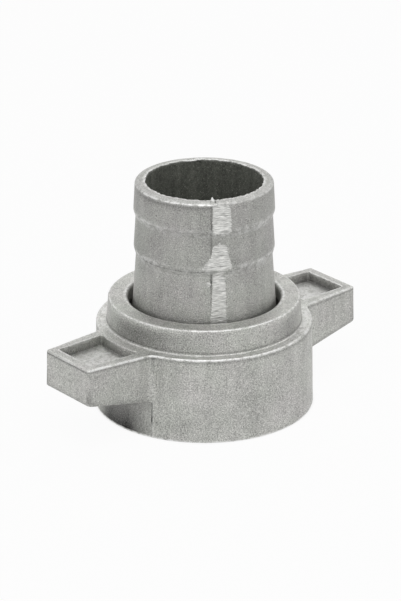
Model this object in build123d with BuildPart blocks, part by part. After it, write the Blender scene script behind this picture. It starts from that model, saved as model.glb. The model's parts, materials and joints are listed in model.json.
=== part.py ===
"""One half of a quarter-turn hose coupling: hose tail, winged locking collar and sealing washer.

Millimetres. The Z axis is the waterway and the swivel axis, +Z up to the hose end, and the
wings point along X. The origin is the middle of the collar's foot, on the floor. The half is
modelled as it stands by itself: the collar on its skirt, and the tail let down inside it
until its washer is on the floor. Lifted by `tail_lift`, the tail's flange seats under the
collar's shoulder, which is where it sits when the coupling is made up.
"""
import math
import os

from build123d import *

os.makedirs("parts", exist_ok=True)

# ---- hose tail ----
tail_height = 85.7
barb_radius = 25.35
barb_wall = 4.35
rim_setback = 0.6
rim_fall = 0.5
rim_bevel = 0.8
bore_edge_bevel = 0.3
upper_barb_setback = 11.5
barb_pitch = 13.9
barb_step = 0.78
upper_barb_drop = 2.2
lower_barb_drop = 2.9
upper_barb_round = 1.8
lower_barb_round = 1.6
shank_flare = 1.95
shank_bearing_length = 10.5
shank_blend = 12.0
flange_seat_width = 3.1
flange_thickness = 8.0
flange_bevel = 0.5

# ---- sealing washer and its groove in the flange's face ----
washer_thickness = 5.0
washer_stand_out = 2.0
washer_lip_bevel = 0.7
washer_side_clearance = 0.3
groove_inner_wall = 2.2
groove_outer_wall = 1.6

# ---- locking collar: barrel, shoulder and ring ----
collar_height = 41.0
ring_height = 9.2
ledge_width = 3.8
swivel_clearance = 0.3
flange_clearance = 0.4
shoulder_thickness = 5.0
flange_recess_depth = 8.5
skirt_wall = 4.3
barrel_flare = 0.7
ring_flare = 0.55
foot_edge_bevel = 0.3
mouth_bevel = 0.8
ledge_edge_bevel = 0.4
ring_edge_bevel = 0.45
lip_bevel = 0.7

# ---- wings and their lightening pockets ----
wing_length = 22.96
wing_tip_half_width = 12.28
wing_root_half_width = 15.0
wing_tip_depth = 13.65
wing_root_depth = 17.5
wing_draft = 1.5
wing_corner_round = 0.9
wing_under_round = 0.8
wing_root_round = 1.0
pocket_depth = 3.65
pocket_end_wall = 3.7
pocket_tip_side_wall = 2.73
pocket_root_side_wall = 4.55
pocket_barrel_wall = 0.8
pocket_corner_round = 0.5

# ---- bayonet ramps inside the skirt ----
wing_count = 2
quarter_turn = 90.0
lug_arc = 60.0
lug_side_clearance = 20.0
stop_play = 1.0
ramp_width = 3.8
ramp_rise = 3.0
ramp_thickness = 6.0
ramp_foot_height = 4.0
ramp_lead = 1.8
ramp_root_overlap = 1.0

# ---- what follows from the sizes above, from the bore outwards ----
bore_radius = barb_radius - barb_wall
rim_radius = barb_radius - rim_setback
waist_radius = barb_radius - barb_step
shank_radius = barb_radius + shank_flare
hole_radius = shank_radius + swivel_clearance
flange_radius = hole_radius + flange_seat_width
groove_inner_radius = bore_radius + groove_inner_wall
groove_outer_radius = flange_radius - groove_outer_wall
washer_inner_radius = groove_inner_radius + washer_side_clearance
washer_outer_radius = groove_outer_radius - washer_side_clearance
flange_recess_radius = flange_radius + flange_clearance
cavity_radius = flange_recess_radius + ramp_width
barrel_radius = cavity_radius + skirt_wall
ring_radius = barrel_radius - ledge_width

# ---- and from the floor upwards ----
flange_face = washer_stand_out
flange_top = flange_face + flange_thickness
shank_top = flange_top + shank_bearing_length
upper_barb_height = tail_height - upper_barb_setback
lower_barb_height = upper_barb_height - barb_pitch
shoulder_height = collar_height - shoulder_thickness
ledge_height = collar_height - ring_height
cavity_top = shoulder_height - flange_recess_depth
tail_lift = shoulder_height - flange_top

# ---- and round the collar ----
wing_reach = barrel_radius + wing_length
wing_root_reach = math.sqrt(barrel_radius**2 - wing_root_half_width**2)
wing_anchor_radius = barrel_radius - skirt_wall / 2
ramp_arc = 360 / wing_count - lug_arc - 2 * lug_side_clearance
ramp_start = quarter_turn - ramp_arc / 2
stop_arc = (ramp_arc - lug_arc) / 2 - stop_play
ramp_outer_radius = cavity_radius + ramp_root_overlap
ramp_middle_radius = (flange_recess_radius + ramp_outer_radius) / 2


def softened_profile(points, rounds, bevels):
    """Fill a closed outline in the current sketch, then round or bevel the corners named."""
    with BuildLine() as outline:
        Polyline(*points, close=True)
    make_face(outline.edges())
    for corner, radius in rounds:
        fillet(vertices().sort_by_distance(Vector(*corner))[0], radius)
    for corner, width in bevels:
        chamfer(vertices().sort_by_distance(Vector(*corner))[0], width)


def meets_barrel(edge):
    """Whether this edge lies on the barrel's outside, at the height of a wing's sides or underside."""
    middle = edge.position_at(0.5)
    reach = math.hypot(middle.X, middle.Y)
    on_barrel = barrel_radius - 0.01 < reach < barrel_radius + barrel_flare
    return on_barrel and ledge_height - axis_depth < middle.Z < ledge_height - wing_under_round


# ---- hose tail: turned form with two barbs, a tapered shank and a flange ----
with BuildPart() as hose_tail:
    rim = (rim_radius, tail_height - rim_fall)
    upper_crest = (barb_radius, upper_barb_height)
    upper_waist = (waist_radius, upper_barb_height - upper_barb_drop)
    lower_crest = (barb_radius, lower_barb_height)
    lower_waist = (waist_radius, lower_barb_height - lower_barb_drop)
    shank_shoulder = (shank_radius, shank_top)
    with BuildSketch(Plane.XZ):
        softened_profile(
            [
                (bore_radius, flange_face),
                (flange_radius, flange_face),
                (flange_radius, flange_top - flange_bevel),
                (flange_radius - flange_bevel, flange_top),
                (shank_radius, flange_top),
                shank_shoulder,
                lower_waist,
                lower_crest,
                upper_waist,
                upper_crest,
                rim,
                (bore_radius + bore_edge_bevel, tail_height),
                (bore_radius, tail_height - bore_edge_bevel),
            ],
            [
                (upper_crest, upper_barb_round),
                (upper_waist, upper_barb_round),
                (lower_crest, lower_barb_round),
                (shank_shoulder, shank_blend),
            ],
            [
                (rim, rim_bevel),
            ],
        )
    revolve(axis=Axis.Z)
    with BuildSketch(Plane.XY.offset(flange_face)):
        Circle(groove_outer_radius)
        Circle(groove_inner_radius, mode=Mode.SUBTRACT)
    extrude(amount=washer_thickness - washer_stand_out, mode=Mode.SUBTRACT)
hose_tail.part.label = "hose_tail"
export_step(hose_tail.part, "parts/hose_tail.step")

# ---- sealing washer: a rubber ring in the flange's groove, standing out of it ----
with BuildPart() as sealing_washer:
    with BuildSketch():
        Circle(washer_outer_radius)
        Circle(washer_inner_radius, mode=Mode.SUBTRACT)
    extrude(amount=washer_thickness)
    chamfer(faces().sort_by(Axis.Z)[0].edges(), washer_lip_bevel)
sealing_washer.part.label = "sealing_washer"
export_step(sealing_washer.part, "parts/sealing_washer.step")

# ---- one wing with its pocket, long enough inwards to root in the barrel's wall ----
with BuildPart() as wing:
    plan_slope = (wing_root_half_width - wing_tip_half_width) / (wing_reach - wing_root_reach)
    under_slope = (wing_root_depth - wing_tip_depth) / wing_length
    axis_half_width = wing_tip_half_width + plan_slope * wing_reach
    axis_depth = wing_tip_depth + under_slope * wing_reach
    with BuildSketch(Plane.XY.offset(ledge_height)):
        with BuildLine():
            Polyline(
                (0, -axis_half_width),
                (wing_reach, -wing_tip_half_width),
                (wing_reach, wing_tip_half_width),
                (0, axis_half_width),
                close=True,
            )
        make_face()
    extrude(amount=-axis_depth)
    outer_walls = faces().filter_by(lambda face: abs(face.normal_at().Z) < 0.5).sort_by(Axis.X)[1:]
    draft(outer_walls, Plane.XY.offset(ledge_height), wing_draft)
    with BuildSketch(Plane.XZ):
        with BuildLine():
            Polyline(
                (0, ledge_height - axis_depth),
                (2 * wing_reach, ledge_height - axis_depth + 2 * under_slope * wing_reach),
                (2 * wing_reach, 0),
                (0, 0),
                close=True,
            )
        make_face()
    extrude(amount=2 * axis_half_width, both=True, mode=Mode.SUBTRACT)
    uprights = edges().filter_by(lambda edge: abs((edge @ 1 - edge @ 0).Z) > wing_tip_depth / 2)
    fillet(uprights.sort_by(Axis.X)[-2:], wing_corner_round)
    under_face = faces().sort_by(Axis.Z)[0]
    fillet(under_face.edges().sort_by(Axis.X)[1:], wing_under_round)
    Cylinder(wing_anchor_radius, 4 * collar_height, mode=Mode.SUBTRACT)
    pocket_root_half_width = wing_root_half_width - pocket_root_side_wall
    pocket_tip_half_width = wing_tip_half_width - pocket_tip_side_wall
    with BuildSketch(Plane.XY.offset(ledge_height)):
        with BuildLine():
            Polyline(
                (wing_root_reach, -pocket_root_half_width),
                (wing_reach - pocket_end_wall, -pocket_tip_half_width),
                (wing_reach - pocket_end_wall, pocket_tip_half_width),
                (wing_root_reach, pocket_root_half_width),
                close=True,
            )
        make_face()
        Circle(barrel_radius + pocket_barrel_wall, mode=Mode.SUBTRACT)
        fillet(vertices(), pocket_corner_round)
    extrude(amount=-pocket_depth, mode=Mode.SUBTRACT)

# ---- one bayonet ramp: a bar swept up a short piece of helix, with a stop at its high end ----
with BuildPart() as ramp:
    with BuildLine(Plane.XY.offset(ramp_foot_height + ramp_thickness / 2)) as ramp_path:
        Helix(pitch=ramp_rise * 360 / ramp_arc, height=ramp_rise, radius=ramp_middle_radius)
    with BuildSketch(Plane(ramp_path.line @ 0, x_dir=(1, 0, 0), z_dir=ramp_path.line % 0)):
        Rectangle(ramp_outer_radius - flange_recess_radius, ramp_thickness)
    sweep(is_frenet=True)
    entry_face = faces().sort_by(Axis.Y)[0]
    chamfer(entry_face.edges().sort_by(Axis.Z)[-1], ramp_lead)
    with BuildSketch(Plane.XY.offset(ramp_foot_height + ramp_rise)):
        with BuildLine():
            stop_inner = CenterArc((0, 0), flange_recess_radius, ramp_arc - stop_arc, stop_arc)
            stop_outer = CenterArc((0, 0), ramp_outer_radius, ramp_arc - stop_arc, stop_arc)
            Line(stop_inner @ 0, stop_outer @ 0)
            Line(stop_inner @ 1, stop_outer @ 1)
        make_face()
    extrude(amount=cavity_top - ramp_foot_height - ramp_rise)

# ---- locking collar: barrel, ring, wings and ramps in one casting ----
with BuildPart() as locking_collar:
    ring_edge = (ring_radius - ring_flare, collar_height)
    lip = (hole_radius, collar_height)
    with BuildSketch(Plane.XZ):
        softened_profile(
            [
                (cavity_radius + mouth_bevel, 0),
                (barrel_radius + barrel_flare - foot_edge_bevel, 0),
                (barrel_radius + barrel_flare, foot_edge_bevel),
                (barrel_radius, ledge_height),
                (ring_radius, ledge_height),
                ring_edge,
                lip,
                (hole_radius, shoulder_height),
                (flange_recess_radius, shoulder_height),
                (flange_recess_radius, cavity_top),
                (cavity_radius, cavity_top),
                (cavity_radius, mouth_bevel),
            ],
            [],
            [
                (ring_edge, ring_edge_bevel),
                (lip, lip_bevel),
            ],
        )
    revolve(axis=Axis.Z)
    with PolarLocations(0, wing_count):
        add(wing.part)
    fillet(edges().filter_by(meets_barrel), wing_root_round)
    near_ledge = (ledge_height - ledge_edge_bevel, ledge_height + ledge_edge_bevel)
    ledge_face = faces().filter_by(Axis.Z).filter_by_position(Axis.Z, *near_ledge)[0]
    chamfer(ledge_face.outer_wire().edges(), ledge_edge_bevel)
    with PolarLocations(0, wing_count, start_angle=ramp_start):
        add(ramp.part)
locking_collar.part.label = "locking_collar"
export_step(locking_collar.part, "parts/locking_collar.step")

print(f"Travel of the tail, floor to shoulder: {tail_lift:.2f} mm")
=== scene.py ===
# %% [markdown]
# # A hose coupling half in cast aluminium
#
# This lesson dresses a packed CAD model: a hose tail that swivels in a collar with two wings,
# and a rubber washer in the tail's foot. The CAD model says how large each piece is and how it
# moves. Here each piece gets a finer mesh of the same form, with the rounded edges, seams and
# file marks of a sand casting, and a surface that looks shot-blasted.

# %% The frame and the tools
import json
import math

import bmesh
import bpy
import numpy as np
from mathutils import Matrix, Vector, noise


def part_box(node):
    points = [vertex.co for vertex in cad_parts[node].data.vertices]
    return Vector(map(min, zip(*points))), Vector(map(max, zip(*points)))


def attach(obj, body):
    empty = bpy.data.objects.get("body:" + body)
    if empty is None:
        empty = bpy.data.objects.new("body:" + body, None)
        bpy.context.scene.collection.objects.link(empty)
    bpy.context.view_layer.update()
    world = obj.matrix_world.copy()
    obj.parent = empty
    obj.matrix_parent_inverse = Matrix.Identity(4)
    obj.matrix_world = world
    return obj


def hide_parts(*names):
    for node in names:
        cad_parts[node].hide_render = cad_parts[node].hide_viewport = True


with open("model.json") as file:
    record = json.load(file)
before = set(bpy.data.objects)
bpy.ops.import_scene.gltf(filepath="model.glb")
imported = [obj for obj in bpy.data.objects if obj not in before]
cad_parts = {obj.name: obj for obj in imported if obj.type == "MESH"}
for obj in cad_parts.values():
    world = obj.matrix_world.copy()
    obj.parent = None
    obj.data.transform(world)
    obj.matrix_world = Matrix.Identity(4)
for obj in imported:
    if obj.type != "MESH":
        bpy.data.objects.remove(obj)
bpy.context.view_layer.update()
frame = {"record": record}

# %% [markdown]
# ## Sizes
#
# Lengths here are in millimetres, and the mesh helper turns them into Blender's metres. The
# frame knows each piece's box and the bore's radius, so the sizes that it can tell are read
# from it. Walls, steps and roundings are added to them by name.

# %% Sizes
mm = 0.001
tail_low, tail_high = (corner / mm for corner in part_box("hose_tail"))
collar_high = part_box("locking_collar")[1] / mm
washer_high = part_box("sealing_washer")[1] / mm
waterway = next(mount for mount in frame["record"]["mounts"] if mount["name"] == "waterway")

bore = waterway["dims"]["r_mm"]
tail_top, tail_foot, flange = tail_high.z, tail_low.z, tail_high.x
washer_rim, washer_top = washer_high.x, washer_high.z
collar_top, collar_foot = collar_high.z, collar_high.y
print(f"tail top {tail_top:.1f}, collar top {collar_top:.1f}, wing tip {collar_high.x:.1f} mm")

# %% [markdown]
# ## One helper for every piece
#
# Cut any of the three pieces by a half-plane from its axis, and the cut is a closed outline. So
# a piece is a table: one row for each angle round the axis, one column for each point of the
# outline. Joining neighbours in the table gives a mesh of quads that closes both ways. A lathe
# is the plain case where all rows are alike, and the collar's wings come from rows that differ.
# Points that fall together are merged, and edges sharper than a limit are shaded sharp.
#
# No casting is quite true, so the helper can press the skin in by a smooth noise of two sizes.
# It only ever goes inwards, and the piece stays inside the size that the CAD model gives.
#
# The helper also stores named numbers on the points, such as how much wear they have and where
# light or shade is painted. The materials read them later, so a mark on the surface stays where
# the form has the edge that caused it.

# %% The ring helper
def ring_piece(name, angles, radii, heights, marks, waviness=0.0):
    """Make an object from a table of outlines (angle by point), in degrees and millimetres."""
    turn = np.radians(angles)[:, None]
    points = np.stack([radii * np.cos(turn), radii * np.sin(turn), heights + 0 * turn], axis=-1)
    rows, columns = radii.shape
    row, column = np.meshgrid(np.arange(rows), np.arange(columns), indexing="ij")
    after, beside = (row + 1) % rows * columns, (column + 1) % columns
    quads = np.stack([row * columns + column, after + column, after + beside, row * columns + beside])
    mesh = bpy.data.meshes.new(name)
    mesh.from_pydata((points.reshape(-1, 3) * mm).tolist(), [], quads.reshape(4, -1).T.tolist())
    for mark, values in marks.items():
        layer = mesh.attributes.new(mark, "FLOAT", "POINT")
        layer.data.foreach_set("value", np.broadcast_to(values, radii.shape).ravel().astype(np.float32))
    work = bmesh.new()
    work.from_mesh(mesh)
    bmesh.ops.remove_doubles(work, verts=work.verts, dist=0.002 * mm)
    bmesh.ops.dissolve_degenerate(work, edges=work.edges, dist=0.001 * mm)
    work.normal_update()
    for vertex in work.verts:
        swell = noise.noise(vertex.co / (6 * mm)) + 0.5 * noise.noise(vertex.co / (2.2 * mm))
        vertex.co -= vertex.normal * waviness * mm * (0.5 + 0.33 * swell)
    work.to_mesh(mesh)
    work.free()
    mesh.shade_smooth()
    mesh.set_sharp_from_angle(angle=math.radians(38))
    piece = bpy.data.objects.new(name, mesh)
    bpy.context.scene.collection.objects.link(piece)
    print(f"{name}: {len(mesh.polygons)} faces")
    return piece


# %% [markdown]
# An outline starts as a few corners, each with its own rounding. The next helper puts an arc
# into each rounded corner and cuts the straight runs into steps of a millimetre, so that a later
# mark has points to move. Outlines run anticlockwise, with the radius to the right and the
# height up: up the outside, in over the top, and down the inside. That makes every face look
# outwards.

# %% Rounded outlines
def outline(corners, step=1.0, arc_steps=5):
    """Points (radius, height) of a closed outline from corners (radius, height, rounding)."""
    spots = [Vector(corner[:2]) for corner in corners]
    points = []
    for index, (spot, corner) in enumerate(zip(spots, corners)):
        if corner[2] == 0:
            points.append(spot)
            continue
        to_last = (spots[index - 1] - spot).normalized()
        to_next = (spots[(index + 1) % len(spots)] - spot).normalized()
        half = to_last.angle(to_next) / 2
        centre = spot + (to_last + to_next).normalized() * corner[2] / math.sin(half)
        start = spot + to_last * corner[2] / math.tan(half) - centre
        end = spot + to_next * corner[2] / math.tan(half) - centre
        turned = math.atan2(start.x * end.y - start.y * end.x, start.dot(end))
        steps = max(arc_steps, round(abs(turned) * corner[2] / step))
        for part in range(steps + 1):
            bend = turned * part / steps
            cos, sin = math.cos(bend), math.sin(bend)
            points.append(centre + Vector((start.x * cos - start.y * sin, start.x * sin + start.y * cos)))
    fine = []
    for here, there in zip(points, points[1:] + points[:1]):
        pieces = max(1, round((there - here).length / step))
        fine += [here.lerp(there, part / pieces) for part in range(pieces)]
    return np.array(fine)


square = outline([(10, 0, 1), (20, 0, 1), (20, 10, 1), (10, 10, 1)])
print(f"a 10 mm square with rounded corners takes {len(square)} points")

# %% [markdown]
# ## The hose tail
#
# The tail is a turned form with two barbs that grip the hose, a tapered shank that runs in the
# collar, and a flange that holds the washer in a groove. It could be a stack of cones, but one
# outline keeps every rounding smooth, and the barbs' crests and waists are plain to read in it.

# %% Outline of the tail
barb, rim_step, barb_step = 25.35, 0.6, 0.78
upper_crest, lower_crest = tail_top - 11.5, tail_top - 25.4
upper_waist, lower_waist = upper_crest - 2.2, lower_crest - 2.9
shank, shank_top = barb + 1.95, 20.5
flange_top = tail_foot + 8
groove_inner, groove_outer = bore + 2.2, flange - 1.6

tail_corners = [
    (groove_outer, tail_foot, 0.15),
    (flange, tail_foot, 0.3),
    (flange, flange_top, 0.5),
    (shank, flange_top, 0.2),
    (shank, shank_top, 12),
    (barb - barb_step, lower_waist, 0.35),
    (barb - 0.37, lower_crest - 1.4, 0),  # three points without rounding,
    (barb - 0.3, lower_crest - 1.15, 0),  # close together, so that the thin
    (barb - 0.23, lower_crest - 0.9, 0),  # dark line there stays thin
    (barb, lower_crest, 1.0),
    (barb - barb_step, upper_waist, 1.8),
    (barb, upper_crest, 1.8),
    (barb - rim_step, tail_top - 0.5, 1.3),
    (bore, tail_top, 0.35),
    (bore, tail_foot, 0.2),
    (groove_inner, tail_foot, 0.15),
    (groove_inner, washer_top, 0.15),
    (groove_outer, washer_top, 0.15),
]
tail_outline = outline(tail_corners)
tail_radii, tail_heights = tail_outline.T
print(f"tail outline: {len(tail_outline)} points")

# %% [markdown]
# ## Marks as numbers over angle and height
#
# The tail was cast in a mould of two halves, and where they met, a thin seam runs up both
# sides. Such marks could be painted as a texture, but then the form would not follow them. Here
# they are worked out on the same grid as the form: one number for each angle and height, which
# moves the point a little, or goes to the material as a mark. Four small helpers are enough.

# %% Slopes, peaks and waves
def fade(values, start, end):
    """0 before start, 1 after end, and a smooth slope between them."""
    share = np.clip((values - start) / (end - start), 0, 1)
    return share * share * (3 - 2 * share)


def peak(values, centre, width):
    """1 at the centre, and falling away on both sides, to about a third one width off."""
    return np.exp(-(((values - centre) / width) ** 2))


def ripple(values, pace, seed):
    """Smooth noise along one line of numbers, from about -1 to 1."""
    return np.array([noise.noise(Vector((value * pace, seed, 0.37))) for value in np.ravel(values)])


def apart(angles, direction):
    """Degrees from a direction to each angle, from -180 to 180."""
    return (angles - direction + 180) % 360 - 180


print(f"a fade half way: {fade(0.5, 0, 1):.2f}, a peak one width off: {peak(1, 0, 1):.2f}")

# %% [markdown]
# The angles lie close together only near the two seams, where the marks are fine. Elsewhere the
# tail is as round as its outline, and fewer rows keep the mesh light.

# %% Angles of the tail
front, seam_front, seam_back = -129.15, -122.3, 56.0
near_front, near_back = seam_front + np.arange(-9, 20, 0.3), seam_back + np.arange(-2, 2, 0.3)
tail_angles = np.concatenate([np.arange(0, 360, 1.5), near_front, near_back]) % 360
tail_angles = np.unique(np.round(tail_angles, 3))
from_front, from_back = apart(tail_angles, seam_front), apart(tail_angles, seam_back)
across = from_front[:, None]
outside = (tail_radii > bore + 0.8) & (tail_heights > flange_top + 1)
print(f"tail: {len(tail_angles)} angles, the front seam at {seam_front} degrees")

# %% [markdown]
# ## The filed band
#
# A hose would leak along a standing seam, so somebody filed it off the barbs and the cone with
# quick strokes. The file leaves a flat, and its width depends on how far the form stands out: it
# is widest at a crest and leaves the waist above it alone. The table gives the band's two edges,
# in degrees from the seam. Where left lies beyond right, nothing was filed.

# %% Filed band
band = np.array([
    (24.0, -2.2, 8.5),
    (39.0, -2.4, 11.0),
    (46.0, -1.0, 11.4),
    (54.0, -0.2, 11.4),
    (58.9, 0.0, 9.0),
    (59.4, 10.0, 2.0),
    (60.2, -9.2, 15.8),
    (61.8, -7.0, 15.4),
    (64.5, -2.0, 13.5),
    (66.5, -0.2, 12.5),
    (69.4, 0.0, 11.0),
    (69.8, 10.0, 1.0),
    (73.2, 12.0, 4.0),
    (73.6, -0.1, 15.4),
    (80.0, 0.0, 15.2),
    (84.3, 0.0, 14.0),
    (84.8, 12.0, 4.0),
])
left, right = (np.interp(tail_heights, band[:, 0], band[:, side]) for side in (1, 2))
within = np.minimum(across - left, right - across)
filed = np.clip(0.5 + within / 3, 0, 1) * outside
cut = fade(within, -0.2, 0.5) * outside

flat_middle, flat_half = 8.5, 9
flat_depth = tail_radii * (1 - math.cos(math.radians(flat_half)) / np.cos(np.radians(across - flat_middle)))
flat_depth = np.clip(flat_depth, 0, None) + 0.08 + 0.03 * ripple(tail_heights, 2.6, 9.0)
slip = peak(across, -3.4, 2.4) * peak(tail_heights, 54.6, 0.8)
filed = np.maximum(filed, 0.95 * slip)
print(f"the file took off up to {(cut * flat_depth).max():.2f} mm")

# %% [markdown]
# ## The seams
#
# A seam is a low ridge that wanders a little, because the two mould halves never close on a
# perfect line. A dark line of painted shadow runs along its foot. The line is broken, strongest
# under the lower barb, and ends in a small dark notch painted at the rim.

# %% Seams of the tail
wander = 0.35 * ripple(tail_heights, 0.45, 5.0)
ridge = peak(across, wander, 0.6) * (1 - 0.8 * cut) * outside
ridge_back = peak(from_back[:, None], wander, 0.7) * outside
relief = 0.16 * ridge + 0.14 * ridge_back - cut * flat_depth

# Painted shadow: a dark line along the foot of the front seam's ridge.
foot_line = peak(across, wander - 1.3, 0.7) * (0.55 + 0.45 * ripple(tail_heights, 0.5, 8.0)) * outside
foot_line = foot_line * (1 + 1.1 * peak(tail_heights, lower_crest - 3.6, 3.2))
notch = peak(across, 2.7, 0.6) * fade(tail_heights, tail_top - 1.6, tail_top - 1.0) * (tail_radii < bore + 2.8)
seam = np.clip(foot_line, 0, 1.5) + 0.4 * ridge_back + 1.5 * notch
print(f"the seam stands out by {relief.max():.2f} mm and wanders {np.abs(wander).max():.2f} degrees")

# %% [markdown]
# ## The rim
#
# The rim was never machined. It waves a little, its inner edge is ragged where the sand core
# met the mould, and the seams end there in small nibs of metal. The rim is let down from the
# top of the box by its own wave, so that the nibs can stand up to full height.

# %% Ragged rim and nibs
nib = np.clip(peak(from_front, 0.8, 1.35) + 0.55 * peak(from_back, 0, 2.6), 0, 1)[:, None]
standing = nib * fade(tail_radii, bore + 2.6, bore + 0.8)
round_rim = np.radians(tail_angles)
rim_wave = 0.55 + 0.07 * (ripple(np.cos(round_rim) * 5, 1.0, 1.0) + ripple(np.sin(round_rim) * 14, 1.0, 2.0))
drop = rim_wave[:, None] * (1 - standing) * fade(tail_heights, tail_top - 2.6, tail_top - 0.6)

at_edge = fade(tail_heights, tail_top - 1.6, tail_top - 0.3) * (tail_radii < bore + 0.6)
ragged = (0.26 * ripple(tail_angles, 0.17, 4.0) + 0.36 * ripple(tail_angles, 0.43, 6.0))[:, None] - 1.3 * nib
chipped = 0.3 * np.clip(0.5 + ripple(tail_angles, 0.37, 3.0), 0, 1)[:, None] * (1 - nib)
tail_table = tail_radii + relief + ragged * at_edge
tail_levels = tail_heights - drop - chipped * at_edge
print(f"the rim lies {rim_wave.min():.2f} to {rim_wave.max():.2f} mm under the nibs")

# %% [markdown]
# ## Wear, dirt, and painted light and shade
#
# Edges that stand out are bright from wear by hoses and hands: the rim, the nibs and the barbs'
# crests. Painted highlights lie on the rim's outer line toward the front left and on the crests
# toward the sides, and the faces under the crests are painted lighter to lift their shade.
# Painted shade darkens the tail under the rim, in a thin line just under the lower crest, and
# low on the cone by the collar, and the barbs are a little darker. The inside is painted dark:
# partly the mould's dark skin, partly painted shade.

# %% Marks of the tail
front_left = (fade(from_front, -95, -60) * (1 - fade(from_front, 0, 6)))[:, None]
beside = fade(np.abs(apart(tail_angles, front)), 12, 50)[:, None]
# Painted highlight: a bright line on the rim's outer edge, strongest toward the front left.
rim_line = peak(tail_heights, tail_top - 1.0, 0.3) * (tail_radii > bore + 2.5)
worn = 0.12 * fade(tail_heights, tail_top - 2.0, tail_top - 1.0) * (tail_radii > bore + 2.0)
worn = worn + rim_line * (0.15 + 0.55 * front_left) + 0.4 * at_edge
worn = worn + 1.5 * standing * (tail_heights > tail_top - 1.5)
# Painted highlights on the crests, stronger away from the front, and painted light on the faces under the
# crests, which lifts their shade.
for crest, waist, share in ((upper_crest, upper_waist, 0.16), (lower_crest, lower_waist, 0.12)):
    step_face = fade(tail_heights, waist - 0.4, waist + 0.4) * (1 - fade(tail_heights, crest - 1.0, crest - 0.3))
    worn = worn + (peak(tail_heights, crest, 0.6) * (share + 0.2 * beside) + 0.22 * step_face) * outside
# The inside gets a dark colour: partly the mould's skin, partly painted shade.
inside = (tail_radii < bore + 0.35) * (1 - fade(tail_heights, tail_top - 0.6, tail_top - 0.1))

# Painted shade: darker low on the cone by the collar, in a thin line under the lower crest, and under the rim
# toward the front left. The barbs are a little darker too.
by_collar = 1 - fade(tail_heights, collar_top - 1, collar_top + 6)
on_barbs = fade(tail_heights, lower_crest - 0.6, lower_crest + 1.0)
under_crest = peak(tail_heights, lower_crest - 1.15, 0.16) * (1 - cut) * (0.35 + 0.65 * front_left)
under_rim = peak(tail_heights, tail_top - 2.6, 0.9) * front_left
grime = (0.12 * by_collar + 0.15 * on_barbs + under_crest + 0.5 * under_rim) * outside
print(f"marks of the tail: worn up to {worn.max():.2f}, grime up to {grime.max():.2f}")

# %% Mesh of the tail
tail_marks = {"worn": worn, "inside": inside, "filed": filed, "grime": grime, "seam": seam}
hose_tail = ring_piece("hose_tail_casting", tail_angles, tail_table, tail_levels, tail_marks, 0.06)

# %% [markdown]
# ## The sealing washer
#
# The washer is moulded rubber, so its edges are soft and it has no seam worth showing. It sits
# in the groove of the flange and stands out of it by its lip. A plain turned outline is all it
# needs.

# %% Sealing washer
washer_bore = groove_inner + 0.3
lip = 0.7
washer_corners = [
    (washer_bore + lip, 0, 0.2),
    (washer_rim - lip, 0, 0.2),
    (washer_rim, lip, 0.3),
    (washer_rim, washer_top, 0.25),
    (washer_bore, washer_top, 0.25),
    (washer_bore, lip, 0.3),
]
washer_outline = outline(washer_corners)
washer_angles = np.arange(0, 360, 2.0)
washer_table = np.broadcast_to(washer_outline[:, 0], (len(washer_angles), len(washer_outline)))
sealing_washer = ring_piece("sealing_washer_ring", washer_angles, washer_table, washer_outline[:, 1], {})

# %% [markdown]
# ## The locking collar
#
# The collar is one casting: a barrel, a ring on top that keeps the tail in, and two wings to
# turn it by. It could be a barrel with two blocks joined on, but the real one has soft hollows
# where they meet, and a join of meshes leaves ragged triangles there. So the whole collar is
# one table, and the shape seen from above is worked out first.

# %% Collar sizes
barrel, ring, ring_flare = 39.2, 35.4, 0.55
ledge, shoulder, recess_top = collar_top - 9.2, collar_top - 5, collar_top - 13.5
hole, recess, cavity = shank + 0.3, flange + 0.4, 34.9
reach, tip_half, root_half, root_reach = collar_high.x - 0.35, 12.28, 15.0, 36.22
tip_depth, root_depth = 13.65, 17.5
pocket_half, pocket_taper, pocket_depth = 10.45, 0.0411, 3.65
tip_wall, barrel_wall = 3.7, 0.8
draft = math.tan(math.radians(1.5))
taper = (root_half - tip_half) / (reach - root_reach)
under_slope = (root_depth - tip_depth) / (reach - barrel)
print(f"wing: {2 * root_half:.0f} mm wide at the barrel, {2 * tip_half:.1f} at the tip")

# %% [markdown]
# Each helper below says how far a point is outside a shape, and is negative inside. Two such
# distances make a rounded corner or a rounded hollow. That gives the circle with its two tapered
# wings, and the pocket in a wing, as plain sums.

# %% Distances with rounded joins
def soft_corner(one, other, radius):
    """Distance from the corner that two lines make, rounded outwards."""
    rounded = np.hypot(np.maximum(radius + one, 0), np.maximum(radius + other, 0))
    return np.minimum(np.maximum(one, other), -radius) + rounded


def soft_hollow(one, other, radius):
    """Distance from two shapes joined with a hollow rounding."""
    rounded = np.hypot(np.maximum(radius - one, 0), np.maximum(radius - other, 0))
    return np.maximum(np.minimum(one, other), radius) - rounded


print(f"a 2 mm rounding cuts a corner by {soft_corner(0.0, 0.0, 2.0):.2f} mm")

# %% Plan of the collar
def barrel_at(height):
    """The barrel's radius, which grows a little towards the foot."""
    return barrel + (collar_foot - barrel) * (ledge - height) / ledge


def wing_gap(x, y, drop):
    """How far a point is outside one wing or the other, so far below the ledge."""
    side = (np.abs(y) - (root_half + taper * (root_reach - np.abs(x)))) / math.hypot(1, taper)
    return soft_corner(side, np.abs(x) - reach, 0.9) - drop * draft


def pocket_gap(x, y):
    """How far a point is outside the pocket's own outline, which keeps off the barrel."""
    side = np.abs(y) - (pocket_half + pocket_taper * (root_reach - np.abs(x)))
    end = soft_corner(side / math.hypot(1, pocket_taper), np.abs(x) - (reach - tip_wall), 0.9)
    return soft_corner(end, barrel + barrel_wall - np.hypot(x, y), 0.9)


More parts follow.
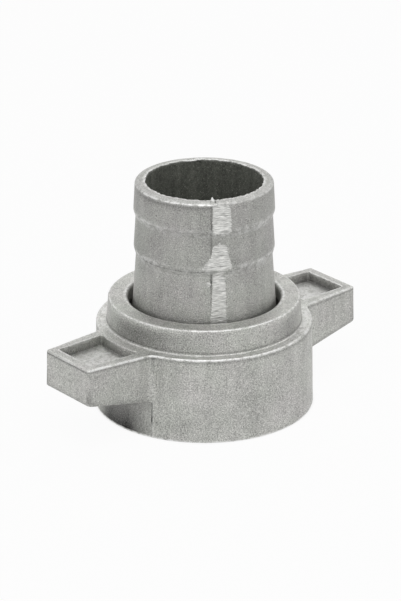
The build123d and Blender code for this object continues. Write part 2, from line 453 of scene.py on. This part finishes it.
def walk(gap, start, end, turn):
    """The radius between start and end where gap turns from inside to outside, for each angle."""
    low, high = np.full_like(turn, start), np.full_like(turn, end)
    for _ in range(36):
        middle = (low + high) / 2
        out = gap(middle * np.cos(turn), middle * np.sin(turn)) > 0
        low, high = np.where(out, low, middle), np.where(out, middle, high)
    return (low + high) / 2


print(f"the barrel grows from {barrel_at(ledge):.1f} to {barrel_at(0):.1f} mm in radius")

# %% [markdown]
# Walking out from the axis until the distance is nought gives the outline's radius for an angle,
# and halving the step does that for all angles at once. The angles need to be close together
# where the outline turns: at the wing tips, at the roots, at the corners of the pockets, at the
# ends of the ramps inside, and along the seam.

# %% Where the pockets end
pocket_turn = np.radians(np.linspace(12, 16, 801))
ray = np.linspace(38, 64, 900)[:, None]
pocket_open = (pocket_gap(ray * np.cos(pocket_turn), ray * np.sin(pocket_turn)) < 0).any(axis=0)
pocket_end = math.degrees(pocket_turn[pocket_open][-1])
print(f"pockets end {pocket_end:.2f} degrees from the wing's middle")

# %% Angles of the collar
collar_seams = np.array([-157.1, 22.9])
ramps = np.array([50.0, 230.0])
ramp_arc, stop_arc, lead_arc, sliver = 80.0, 9.0, 3.1, 0.03
wing_side = np.concatenate([
    np.arange(0, 8.0, 1.0),
    np.arange(8.0, 9.7, 0.1),
    np.arange(9.7, 10.6, 0.2),
    np.arange(10.6, 11.9, 0.06),
    np.arange(11.9, 14.0, 0.35),
    np.arange(14.0, pocket_end, 0.08),
    [pocket_end - 0.004, pocket_end + sliver],
    np.arange(pocket_end + 0.3, 21.0, 0.6),
    np.arange(21.0, 25.2, 0.16),
])
collar_angles = [np.arange(0, 360, 2.0)]
collar_angles += [wing + side * wing_side for wing in (0, 180) for side in (-1, 1)]
collar_angles += [seam_at + np.arange(-1.6, 1.6, 0.16) for seam_at in collar_seams]
for ramp in ramps:
    corners = np.array([0, ramp_arc - stop_arc, ramp_arc])
    collar_angles += [ramp + corners, ramp + corners + [-sliver, -sliver, sliver], [ramp + lead_arc]]
collar_angles = np.unique(np.round(np.concatenate(collar_angles) % 360, 3))
turn = np.radians(collar_angles)
print(f"collar: {len(collar_angles)} angles")

# %% [markdown]
# ## The outline, column by column
#
# The outline goes once round the section: up the barrel, out under the wing, up its side, in
# over the top with its pocket, up the ring, down through the hole, and down the hidden inside.
# Each call of column adds one point to every row, with its marks. Where there is no wing, the
# wing's columns fall together with the barrel and merge.

# %% Columns and roundings
columns = []


def column(radius, height, **marks):
    """Add one point of the outline to every angle's row."""
    marks = {name: value + 0 * turn for name, value in marks.items()}
    columns.append((radius + 0 * turn, height + 0 * turn, marks))


def between(start, end, share):
    """The value a share of the way from start to end."""
    return start + (end - start) * share


def rounding(radius, height, size, start, end, count):
    """Points of an arc round a centre: share of the way, radius and height, angles in degrees."""
    for share in np.linspace(0, 1, count):
        bend = math.radians(between(start, end, share))
        yield share, radius + size * math.cos(bend), height + size * math.sin(bend)


def outside_at(drop=0.0, inset=0.0):
    """The radius of the collar's outside, wings included, so far below the ledge and so far in."""
    wall = barrel_at(ledge - drop)

    def gap(x, y):
        return soft_hollow(np.hypot(x, y) - wall, wing_gap(x, y, drop), 1.5) + inset

    return walk(gap, 30.0, 70.0, turn)


def underside(radius):
    """Height of the wings' sloping underside so far out."""
    return ledge - tip_depth - under_slope * (reach - radius * np.abs(np.cos(turn)))


print(f"a wing tip's underside is at {underside(reach).max():.2f} mm")

# %% [markdown]
# The collar's marks follow the same thinking as the tail's. The edges have wear, and painted
# highlights lie on them on the side that faces the camera, fading away to the back. The seam
# leaves a small step in the barrel, with painted shade at its foot and a light line beside it.

# %% Wear and painted highlights of the collar
off_wing = np.abs(apart(collar_angles, 0)) % 180
off_wing = np.minimum(off_wing, 180 - off_wing)
off_seam = apart(collar_angles[:, None], collar_seams)
seam_dark = peak(off_seam, 0, 0.35).sum(axis=1)
seam_light = peak(off_seam, 0.6, 0.3).sum(axis=1)
# Painted highlights and painted light: edges and the ledge are brighter on the side that faces the camera, most
# at the wings' tip corners.
in_front = 0.3 + 0.7 * peak(apart(collar_angles, -135), 0, 48)
off_wings = fade(off_wing, 20, 27)
at_tip = 1 - fade(off_wing, 10.2, 11.2)
rubbed = (0.95 - 0.6 * at_tip + 0.7 * peak(off_wing, 12.4, 1.0)) * in_front
ledge_wear_and_light = 0.85 * off_wings * in_front
print(f"edges are rubbed from {rubbed.min():.2f} to {rubbed.max():.2f}")

# %% Roundings of the wings
under = underside(np.minimum(outside_at(drop=ledge * 0.4), reach))
wing_width = np.maximum(outside_at(drop=ledge - under) - barrel_at(under), 0)
root_round = np.minimum(1.0, 0.5 * wing_width)
edge_round = np.minimum(0.8, 0.45 * wing_width)
root_under = underside(barrel + root_round)
under_end = outside_at(drop=ledge - under) - edge_round
under_edge = np.where(wing_width > 0.01, underside(under_end), root_under)
print(f"wings stand out up to {wing_width.max():.1f} mm")

# %% [markdown]
# Under the wings the barrel carries the wing's painted shadow, darkest low down. It ends in a
# straight edge at the seam, where the mould halves met.

# %% Barrel
foot_edge, foot_rise = 0.3, 0.35
column(collar_foot - foot_edge, 0)
column(collar_foot - 0.09, 0.09, worn=0.6)
column(collar_foot, foot_rise, worn=0.6)
# Painted shadow of the wings on the barrel, and painted shade at the foot of the seam's step.
wing_shadow_reach = np.clip((27 - off_wing) / 19, 0, 1) * (1 - fade(off_wing, 22.4, 23.2))
close_in = fade(off_wing, 24.0, 22.0)
for share in np.linspace(0.04, 1, 12):
    height = between(foot_rise, root_under - root_round, share)
    broken = 0.3 + 0.6 * fade(height, 14.5, 12.5) * fade(height, 4.5, 6.0)
    broken = broken + 1.3 * peak(height, 7.0, 0.8)
    wing_shadow = wing_shadow_reach * (1.5 - 0.95 * share) + 0.2 * close_in * fade(share, 0.6, 1.0)
    radius = barrel_at(height) - 0.12 * seam_dark
    column(radius, height, grime=wing_shadow, seam=seam_dark * broken, worn=0.3 * seam_light)
print(f"columns so far: {len(columns)}")

# %% Underside of the wings
root = barrel_at(root_under) + root_round
# Painted shade in the hollow where the wing's underside meets the barrel; the underside's outer rounding is a
# little darker.
for share, radius, height in rounding(root, root_under - root_round, root_round, 157.5, 90, 4):
    column(radius, height, grime=0.5 * (wing_width > 1))
for share in np.linspace(0, 1, 14)[1:]:
    radius = between(root, under_end, share)
    column(radius, np.where(wing_width > 0.01, underside(radius), root_under + 0.001 * share))
edge = outside_at(drop=ledge - under_edge) - edge_round
for share, radius, height in rounding(edge, under_edge + edge_round, edge_round, -67.5, 0, 4):
    column(radius, height, grime=0.25 * (wing_width > 1))
print(f"columns so far: {len(columns)}")

# %% [markdown]
# Up the wings' sides, a dark smudge lies low at the corner of the tip and high at the root. The
# top edge is a soft rounding with wear and a painted highlight in front, and a line of pits just
# below it. The outline at the ledge moves inwards with the rounding, so that the edge keeps its
# size all round.

# %% Sides and top edge
edge_size = 0.6
# The top of the side, the top edge's rounding and the ledge get painted highlights in front.
for share in [*np.linspace(0, 0.92, 11)[1:], 0.955, 0.98, 1.0]:
    height = between(under_edge + edge_round, ledge - edge_size, share)
    radius = between(outside_at(), outside_at(drop=10), (ledge - height) / 10)
    at_corner = fade(off_wing, 9.8, 11.0) * (1 - fade(off_wing, 11.3, 12.1))
    smudge = 0.7 * at_corner * (1 - fade(share, 0.05, 0.6))
    smudge = smudge + 0.45 * peak(off_wing, 23.6, 1.2) * fade(share, 0.45, 0.9)
    pitted = (0.6 + 0.5 * at_tip) * peak(share, 0.97, 0.02)
    column(radius, height, worn=0.5 * (share == 1.0) * in_front, grime=smudge + pitted)
for share, inset, height in rounding(edge_size, ledge - edge_size, edge_size, 157.5, 90, 4):
    column(outside_at(inset=inset), height, worn=rubbed)
top_edge = outside_at(inset=0.9)
column(top_edge, ledge, worn=0.35 * in_front * off_wings)
print(f"columns so far: {len(columns)}")

# %% [markdown]
# The pockets are where a row passes through one: the walk starts from a point known to be in
# the pocket, and goes in and out to its two walls. Rows without a pocket get both walls at the
# same place, so the pocket's columns merge there too.

# %% Where the pocket walls are
ray = np.linspace(barrel, reach, 1800)[:, None]
in_pocket = pocket_gap(ray * np.cos(turn), ray * np.sin(turn)) < 0
has_pocket = in_pocket.any(axis=0)
nearest = ray[in_pocket.argmax(axis=0), 0]
farthest = ray[len(ray) - 1 - in_pocket[::-1].argmax(axis=0), 0]
plain = np.minimum(barrel + barrel_wall, outside_at(inset=edge_size) - 0.5)
near_wall = np.where(has_pocket, walk(pocket_gap, nearest, nearest - 0.02, turn), plain)
far_wall = np.where(has_pocket, walk(pocket_gap, farthest, farthest + 0.02, turn), plain)
rim_round, root_fillet = 0.25 * has_pocket, 0.7
floor_round = np.minimum(0.35, 0.45 * (far_wall - near_wall))
floor_level = ledge - pocket_depth * has_pocket
floor_centre = floor_level + floor_round
print(f"{int(has_pocket.sum())} rows have a pocket, up to {(far_wall - near_wall).max():.1f} mm long")

# %% Pockets
# Painted light on the ledge in front and on the pocket floors, as light from above. Painted shade on the pocket
# walls toward the floor and in the floor's rounding. The wings' tops are a little darker.
for share in (1 / 3, 2 / 3):
    radius = between(top_edge, far_wall + rim_round, share)
    column(radius, ledge, worn=ledge_wear_and_light, grime=0.16 * (1 - off_wings))
for share, radius, height in rounding(far_wall + rim_round, ledge - rim_round, rim_round, 90, 180, 4):
    column(radius, height, worn=0.4)
for share in (0.33, 0.66):
    column(far_wall, between(ledge - rim_round, floor_centre, share), grime=0.75 * share)
for share, radius, height in rounding(far_wall - floor_round, floor_centre, floor_round, 0, -90, 4):
    column(radius, height, grime=0.8 * has_pocket)
for share in np.linspace(0, 1, 12)[1:-1]:
    radius = between(far_wall - floor_round, near_wall + floor_round, share)
    column(radius, floor_level, worn=0.4 * has_pocket)
for share, radius, height in rounding(near_wall + floor_round, floor_centre, floor_round, 270, 180, 4):
    column(radius, height, grime=0.8 * has_pocket)
for share in (0.66, 0.33):
    column(near_wall, between(ledge - rim_round, floor_centre, share), grime=0.75 * share)
for share, radius, height in rounding(near_wall - rim_round, ledge - rim_round, rim_round, 0, 90, 4):
    column(radius, height)
for share in (0.25, 0.5, 0.75):
    column(between(near_wall - rim_round, ring + root_fillet, share), ledge, worn=ledge_wear_and_light)
print(f"columns so far: {len(columns)}")

# %% [markdown]
# ## Ring, hole and ramps
#
# The ring is a plain turned form. Its foot has a small hollow rounding with painted shade in it
# and a painted highlight on its outer end in front. Its sides carry painted shade to the left and
# right, its top edge has wear and a painted highlight in front, and its top is a little darker in
# front. Inside the hole the bare look ends, and a dark colour begins: partly the mould's dark
# skin, partly painted shade.

# %% Ring
ring_round, hole_round = 0.9, 1.1
shade_left, shade_right = (peak(apart(collar_angles, at), 0, width) for at, width in ((-170, 28), (-72, 15)))
# Painted shade in the hollow at the ring's foot, and a painted highlight on the fillet's outer end in front.
for share, radius, height in rounding(ring + root_fillet, ledge + root_fillet, root_fillet, 270, 180, 5):
    column(radius, height, worn=0.6 * (share < 0.3) * in_front, grime=0.6 * (share > 0.7))
# Painted shade at the foot of the ring's side and on its left and right.
for share in (0.04, 0.1, 0.2, 0.4, 0.6, 0.8, 0.93):
    height = between(ledge + root_fillet, collar_top - ring_round, share)
    shaded = (0.75 * shade_left + 0.4 * shade_right) * (1 - fade(share, 0.7, 1.0))
    column(ring - ring_flare * share, height, grime=0.5 * (1 - fade(share, 0.0, 0.1)) + shaded)
ring_top = ring - ring_flare - ring_round
# Painted highlight on the ring's top edge, in front.
for share, radius, height in rounding(ring_top, collar_top - ring_round, ring_round, 0, 90, 6):
    column(radius, height, worn=1.0 * (0.5 < share < 0.9) * in_front)
for share in (0.15, 0.4, 0.65, 0.85):
    column(between(ring_top, hole + hole_round, share), collar_top, grime=0.2 * in_front)
for share, radius, height in rounding(hole + hole_round, collar_top - hole_round, hole_round, 90, 180, 6):
    column(radius, height, worn=0.35, inside=share)
print(f"columns so far: {len(columns)}")

# %% Hole and recess
# Inside the hole the colour is dark: partly the mould's skin, partly painted shade.
column(hole, (collar_top + shoulder) / 2, inside=1.0)
column(hole, shoulder, inside=1.0)
column((hole + recess) / 2, shoulder, inside=1.0)
for height in np.linspace(shoulder, recess_top, 4):
    column(recess, height, inside=1.0)
column((recess + cavity) / 2, recess_top, inside=1.0)
column(cavity, recess_top, inside=1.0)
print(f"the tail can rise until its flange meets the shoulder at {shoulder:.1f} mm")

# %% [markdown]
# Each ramp is a bar that climbs round the cavity's wall, with a lead at its low end and a stop
# at its high end. The other half's lugs go in between the ramps, and a quarter turn wedges them
# behind. A helix could be swept for it, but in the table a ramp is only a height that grows with
# the angle. Outside its own arc its columns lie flat on the wall.

# %% Ramps
ramp_low, ramp_rise, bar, lead, mouth = 4.0, 3.0, 6.0, 1.8, 0.8
climb = (collar_angles[:, None] - ramps) % 360
on_ramp = (climb >= 0) & (climb <= ramp_arc)
climb = np.where(on_ramp, climb, 0).max(axis=1)
on_ramp = on_ramp.any(axis=1)
low_side = ramp_low + ramp_rise * climb / ramp_arc
high_side = low_side + bar - lead * np.clip(1 - climb / lead_arc, 0, 1)
high_side = np.where(on_ramp & (climb >= ramp_arc - stop_arc), recess_top, high_side)
inner_side = np.where(on_ramp, recess, cavity)
for share in (0.35, 0.7):
    column(cavity, between(recess_top, high_side, share), inside=1.0)
for share in (0.0, 0.12, 0.5, 0.88, 1.0):
    column(between(cavity, inner_side, share), high_side, inside=1.0)
for share in (0.06, 0.5, 0.94):
    column(inner_side, between(high_side, low_side, share), inside=1.0)
for share in (1.0, 0.88, 0.5, 0.0):
    column(between(cavity, inner_side, share), low_side, inside=1.0)
column(cavity, low_side / 2 + 0.4, inside=1.0)
column(cavity, mouth, inside=1.0)
column(cavity + mouth, 0, inside=0.6)
column((cavity + mouth + collar_foot - foot_edge) / 2, 0)
print(f"ramps rise from {low_side.min():.1f} to {low_side.max():.1f} mm; {len(columns)} columns in all")

# %% Mesh of the collar
collar_table = np.stack([radius for radius, height, marks in columns], axis=1)
collar_levels = np.stack([height for radius, height, marks in columns], axis=1)
collar_marks = {
    name: np.stack([marks.get(name, 0 * turn) for radius, height, marks in columns], axis=1)
    for name in ("worn", "inside", "grime", "seam")
}
locking_collar = ring_piece(
    "locking_collar_casting", collar_angles, collar_table, collar_levels, collar_marks, 0.08
)

# %% [markdown]
# ## Which body each piece belongs to
#
# The tail slides and turns in the collar, and the washer goes with the tail. Each piece rides
# its own body and stands in for one node of the CAD model, whose own part is hidden.

# %% Bodies and nodes
for piece, body, node, finish in (
    (hose_tail, "tail", "hose_tail", "tail_casting"),
    (locking_collar, "collar", "locking_collar", "collar_casting"),
    (sealing_washer, "washer", "sealing_washer", "seal_rubber"),
):
    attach(piece, body)
    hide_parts(node)
    print(f"{piece.name} rides {body}")

# %% [markdown]
# ## Shader maths as plain expressions
#
# A material in Blender is a tree of nodes. Written node by node, even 1 - a * b takes many
# lines. The small class below wraps a socket, so that the usual operators add the Math nodes,
# and a Finish holds the tree and adds any other node in one call. Math nodes only take single
# numbers, so colours and places go through Mix and Vector Math instead.

# %% Wires
class Wire:
    """An output socket that can stand in a sum."""

    def __init__(self, finish, socket):
        self.finish, self.socket = finish, socket

    def sum(self, operation, *parts, clamp=False):
        settings = {"operation": operation, "use_clamp": clamp}
        return self.finish.node("ShaderNodeMath", settings, dict(enumerate(parts)))

    def __add__(self, other):
        return self.sum("ADD", self, other)

    def __sub__(self, other):
        return self.sum("SUBTRACT", self, other)

    def __rsub__(self, other):
        return self.sum("SUBTRACT", other, self)

    def __mul__(self, other):
        return self.sum("MULTIPLY", self, other)

    __radd__, __rmul__ = __add__, __mul__

    def clamped(self):
        return self.sum("ADD", self, 0, clamp=True)

    def slope(self, start, end):
        """0 before start, 1 after end, smooth between."""
        settings = {"interpolation_type": "SMOOTHSTEP"}
        values = {"Value": self, "From Min": start, "From Max": end}
        return self.finish.node("ShaderNodeMapRange", settings, values)


print("wires add, take away and multiply")

# %% Finishes
class Finish:
    """The shader tree of a material or of the world, under construction."""

    def __init__(self, owner):
        self.owner = owner
        owner.use_nodes = True
        self.tree = owner.node_tree
        self.tree.nodes.clear()

    def node(self, kind, settings=None, values=None, output=0):
        """Add a node, set its settings first, then its sockets, and give its output as a Wire."""
        node = self.tree.nodes.new(kind)
        for name, setting in (settings or {}).items():
            setattr(node, name, setting)
        for name, value in (values or {}).items():
            if isinstance(value, Wire):
                self.tree.links.new(value.socket, node.inputs[name])
            else:
                node.inputs[name].default_value = value
        return Wire(self, node.outputs[output]) if node.outputs else None

    def noise(self, where, scale, detail=2.0, roughness=0.5):
        values = {"Vector": where, "Scale": scale, "Detail": detail, "Roughness": roughness}
        return self.node("ShaderNodeTexNoise", {}, values)

    def cells(self, where, scale):
        """How far each place is from the nearest of many scattered points."""
        return self.node("ShaderNodeTexVoronoi", {"feature": "F1"}, {"Vector": where, "Scale": scale})

    def mark(self, name):
        """A number stored on the mesh."""
        return self.node("ShaderNodeAttribute", {"attribute_name": name}, output="Fac")

    def grey(self, red, green, blue):
        """A colour from three numbers that differ only a little."""
        return self.node("ShaderNodeCombineColor", {}, {"Red": red, "Green": green, "Blue": blue})

    def mix(self, share, low, high):
        """Mix two colours."""
        return self.node("ShaderNodeMix", {"data_type": "RGBA"}, {0: share, 6: low, 7: high}, output=2)

    def stretch(self, where, by):
        return self.node("ShaderNodeVectorMath", {"operation": "MULTIPLY"}, {0: where, 1: by})

    def bump(self, height, depth, normal=None):
        values = {"Height": height, "Strength": 1.0, "Distance": depth}
        if normal:
            values["Normal"] = normal
        return self.node("ShaderNodeBump", {}, values)

    def surface(self, **values):
        """The shader at the end of a material."""
        shader = self.node("ShaderNodeBsdfPrincipled", {}, values)
        self.node("ShaderNodeOutputMaterial", {}, {"Surface": shader})
        return self.owner

    def seen(self, straight, mirrored):
        """How much of the white background a ray meets: looking straight, or in metal and glass."""
        rays = ("Is Camera Ray", "Is Glossy Ray", "Is Transmission Ray")
        camera, glossy, through = (self.node("ShaderNodeLightPath", output=ray) for ray in rays)
        return (straight * camera + mirrored * (glossy + through)).clamped()


print("a finish can make", ", ".join(name for name in vars(Finish) if not name.startswith("_")))

# %% [markdown]
# ## File strokes
#
# The filed band is bare metal with fine strokes across it. They could be a separate material
# on its own faces, but its edge would then follow the mesh. So the strokes are laid over the
# casting's own finish. Their noise is stretched flat: quick up and down, slow round the tail.
# A second noise frays the band's edges, as strokes end where they like.

# %% File strokes
def file_strokes(finish, where, colour, rough, relief):
    """Lay the filed band over a finish, and give its colour, roughness and relief."""
    edge = finish.noise(finish.stretch(where, (420, 420, 1700)), 1.0, 3.0, 0.6)
    patchy = finish.noise(where, 420, 2.0, 0.6)
    filed = (finish.mark("filed") + (edge - 0.5) * 1.2 + (patchy - 0.5) * 0.5).slope(0.44, 0.54)
    strokes = finish.noise(finish.stretch(where, (380, 380, 3000)), 1.0, 2.0, 0.65)
    bare = 0.68 + (strokes - 0.5) * 1.7
    colour = finish.mix(filed * 0.92, colour, finish.grey(bare, bare, bare * 0.97))
    return colour, rough - filed * 0.06, relief * (1 - filed * 0.7) + strokes * filed * 0.7


print("file strokes go over the casting where the mark filed is above a half")

# %% [markdown]
# ## Shot-blasted cast aluminium
#
# After casting, the parts are blasted with fine shot, which leaves a dull light grey skin of
# tiny dents. The dents are the grain that the eye sees: each one has a bright and a dark side,
# so the same noise goes into the colour and into the bump. On top come broad, faint stains from
# handling, runs, and a few pits. Edges are brighter from wear, with painted highlights and
# painted light on them, hollows carry painted shade and some dirt, and the inside is painted
# dark, partly as the mould left it and partly as painted shade. Both castings take the same
# finish, coarser on the collar, and lighter there as painted light, as the barrel gets more
# light than the tail. Only the tail has a filed band.

# %% Cast aluminium
def cast_aluminium(name, skin, grit, skin_and_shade_share, filed_band=False):
    """The castings' finish: skin is its lightness, grit the strength of its grain."""
    finish = Finish(bpy.data.materials.new(name))
    where = finish.node("ShaderNodeTexCoord", output="Object")
    grain, specks = finish.noise(where, 2400, 2.0, 0.6), finish.noise(where, 3000, 1.0)
    blotch, cloud = finish.noise(where, 170, 3.0, 0.6), finish.noise(where, 45, 2.0)
    runs = finish.noise(finish.stretch(where, (330, 330, 40)), 1.0, 2.0)
    rub = finish.noise(where, 520, 3.0, 0.65)
    # Wear, painted highlights and painted light, broken up in patches.
    worn = (finish.mark("worn") * (0.1 + 2.2 * rub.slope(0.36, 0.62))).clamped()
    inside, grime, seam = finish.mark("inside"), finish.mark("grime"), finish.mark("seam")

    pits = 1 - finish.cells(where, 110).slope(0.02, 0.05)
    tone = 1 - pits * 0.5 + (grain - 0.5) * grit
    tone = tone + (blotch - 0.5) * 0.32 + (runs - 0.5) * 0.3 + (cloud - 0.5) * 0.42
    # Painted shade and dirt darken the colour, and painted shadow darkens it along the seams.
    shade = tone * (1 - 0.62 * grime * (0.7 + 0.6 * blotch)).clamped() * (1 - 0.65 * seam).clamped() * skin
    shade = shade + specks.slope(0.58, 0.72) * 0.17 - (1 - specks.slope(0.28, 0.40)) * 0.1
    warm = (finish.noise(where, 75, 2.0) - 0.5) * 0.08
    colour = finish.grey(shade * (1 + warm), shade, shade * (0.955 + warm))
    # Wear, painted highlights and painted light lift the colour toward a light grey.
    colour = finish.mix(worn * 0.7, colour, (0.84, 0.84, 0.83, 1))
    rough = 0.52 + (grain - 0.5) * 0.3 - worn * 0.2 + inside * 0.25
    relief = grain * 0.7 + specks * 0.3
    if filed_band:
        colour, rough, relief = file_strokes(finish, where, colour, rough, relief)
    coarse = finish.noise(where, 1000, 2.0, 0.7)
    # The inside is painted dark: partly the mould's skin, partly painted shade.
    skin_and_shade = 0.16 + (coarse - 0.5) * 0.25 + (runs - 0.5) * 0.16 + specks.slope(0.62, 0.75) * 0.3
    colour = finish.mix(inside * skin_and_shade_share, colour, finish.grey(skin_and_shade, skin_and_shade * 1.04, skin_and_shade * 0.9))
    return finish.surface(**{
        "Base Color": colour,
        "Roughness": rough.clamped(),
        "Metallic": (0.92 - inside * 0.7).clamped(),
        "Normal": finish.bump(blotch, 0.0003, finish.bump(relief, 0.00032)),
    })


# The collar's skin is lighter than the tail's: painted light, for the brighter light on the barrel.
hose_tail.data.materials.append(cast_aluminium("tail_cast_aluminium", 0.44, 1.7, 1.0, filed_band=True))
locking_collar.data.materials.append(cast_aluminium("collar_cast_aluminium", 0.51, 2.2, 0.5))
print("castings:", [piece.data.materials[0].name for piece in (hose_tail, locking_collar)])

# %% [markdown]
# ## Rubber
#
# The washer's rubber is nearly black, with the faint grey bloom that old rubber gets and the
# fine grain of its mould. It is not metal, and rough enough to show no clear highlight.

# %% Rubber
def moulded_rubber(name):
    """The washer's finish."""
    finish = Finish(bpy.data.materials.new(name))
    where = finish.node("ShaderNodeTexCoord", output="Object")
    grain, bloom = finish.noise(where, 900, 2.0), finish.noise(where, 90, 2.0)
    colour = finish.mix(bloom.slope(0.35, 0.75), (0.022, 0.022, 0.023, 1), (0.045, 0.045, 0.044, 1))
    return finish.surface(**{
        "Base Color": colour,
        "Roughness": 0.62 + (grain - 0.5) * 0.3,
        "Normal": finish.bump(grain, 0.00006),
    })


sealing_washer.data.materials.append(moulded_rubber("moulded_rubber"))
print("washer:", sealing_washer.data.materials[0].name)

# %% [markdown]
# ## Floor and background
#
# The part stands on white paper. Paper lit by lamps comes out grey, and more lamps would bleach
# the metal. So the floor glows white only for rays that come straight from the camera or by way
# of metal and glass. For all other rays it is plain pale paper, which throws soft light up under
# the wings. A small share of plain paper stays in the camera's view too, with the part's shadow.
#
# Two places need care. Seen down through the part, the floor must not glow inside the barrel,
# so the white starts at the foot's rim. From below the floor is clear, so that the inside shows.

# %% Floor
def white_floor():
    """Paper that looks white, keeps the shadow, and is clear from below."""
    finish = Finish(bpy.data.materials.new("floor_white"))
    shadowed = finish.node("ShaderNodeBsdfDiffuse", {}, {"Color": (0.85, 0.85, 0.85, 1)})
    paper = finish.node("ShaderNodeEmission", {}, {"Color": (1, 1, 1, 1), "Strength": 1.0})
    place = finish.node("ShaderNodeNewGeometry", output="Position")
    from_axis = finish.node("ShaderNodeVectorMath", {"operation": "LENGTH"}, {0: place}, output="Value")
    open_floor = from_axis.slope(0.036, 0.041)
    share = finish.seen(open_floor * 0.95, 0.8)
    bright = finish.node("ShaderNodeMixShader", {}, {0: share, 1: shadowed, 2: paper})
    below = finish.node("ShaderNodeNewGeometry", output="Backfacing")
    clear = finish.node("ShaderNodeBsdfTransparent")
    both = finish.node("ShaderNodeMixShader", {}, {0: below, 1: bright, 2: clear})
    finish.node("ShaderNodeOutputMaterial", {}, {"Surface": both})
    return finish.owner


floor_mesh = bpy.data.meshes.new("floor")
floor_mesh.from_pydata([(-3, -3, 0), (3, -3, 0), (3, 3, 0), (-3, 3, 0)], [], [(0, 1, 2, 3)])
floor = bpy.data.objects.new("floor", floor_mesh)
bpy.context.scene.collection.objects.link(floor)
floor.data.materials.append(white_floor())
print(f"floor: {floor.dimensions.x:.0f} by {floor.dimensions.y:.0f} m")

# %% [markdown]
# The world is the light of the room. It is dim for the part itself, so that the soft boxes shape
# it, and white where it is seen, for the same reason as the floor.

# %% World
def white_world():
    """A dim room that looks white."""
    finish = Finish(bpy.data.worlds.new("studio"))
    dim = finish.node("ShaderNodeBackground", {}, {"Color": (1, 1, 1, 1), "Strength": 0.4})
    white = finish.node("ShaderNodeBackground", {}, {"Color": (1, 1, 1, 1), "Strength": 1.0})
    sky = finish.node("ShaderNodeMixShader", {}, {0: finish.seen(1.0, 1.0), 1: dim, 2: white})
    finish.node("ShaderNodeOutputWorld", {}, {"Surface": sky})
    return finish.owner


bpy.context.scene.world = white_world()
print("world:", bpy.context.scene.world.name)

# %% [markdown]
# ## Lamps
#
# A large soft box high up on the viewer's side gives the even light and the bright rims. A
# smaller one lower down fills the front, and two more keep the far sides from going black. A
# single hard lamp would make the grain harsh and throw a dark shadow.

# %% Lamps
def lamp(name, azimuth, elevation, distance, size, power):
    """A square soft box that faces the part, placed as seen from above."""
    turned, rise = math.radians(azimuth), math.radians(elevation)
    flat = math.cos(rise)
    out = Vector((math.sin(turned) * flat, -math.cos(turned) * flat, math.sin(rise)))
    data = bpy.data.lights.new(name, "AREA")
    data.size, data.energy = size, power
    made = bpy.data.objects.new(name, data)
    made.location = Vector((0, 0, 0.04)) + out * distance
    made.rotation_euler = out.to_track_quat("Z", "Y").to_euler()
    bpy.context.scene.collection.objects.link(made)
    return made


lamps = [
    lamp("top_softbox", -39, 70, 1.0, 0.6, 2.2),
    lamp("front_softbox", -40, 45, 1.0, 0.5, 0.6),
    lamp("side_softbox", 80, 45, 1.0, 0.5, 0.5),
    lamp("back_softbox", 140, 45, 1.0, 0.5, 0.6),
]
print(f"{len(lamps)} lamps, {sum(made.data.energy for made in lamps):.1f} W in all")

# %% [markdown]
# ## Camera
#
# The camera stands about a metre away and a little above the part, so that the ring, the
# ledge and the pockets all show their tops. A long lens keeps the two wings alike in size.

# %% Camera
azimuth, elevation = math.radians(-39.15), math.radians(22.408)
flat = math.cos(elevation)
back = Vector((math.sin(azimuth) * flat, -math.cos(azimuth) * flat, math.sin(elevation)))
to_right = Vector((math.cos(azimuth), math.sin(azimuth), 0))
aim = Vector((0, 0, 38.30 * mm)) - to_right * 1.343 * mm
distance = 1.0403
camera_data = bpy.data.cameras.new("camera")
camera_data.lens, camera_data.sensor_width = 172.2, 36
camera_data.clip_start, camera_data.clip_end = 0.05, 20
camera = bpy.data.objects.new("camera", camera_data)
camera.location = aim + back * distance
camera.rotation_euler = back.to_track_quat("Z", "Y").to_euler()
bpy.context.scene.collection.objects.link(camera)
bpy.context.scene.camera = camera
bpy.context.scene.view_settings.view_transform = "Standard"
print(f"camera {(camera.location - aim).length:.2f} m away")
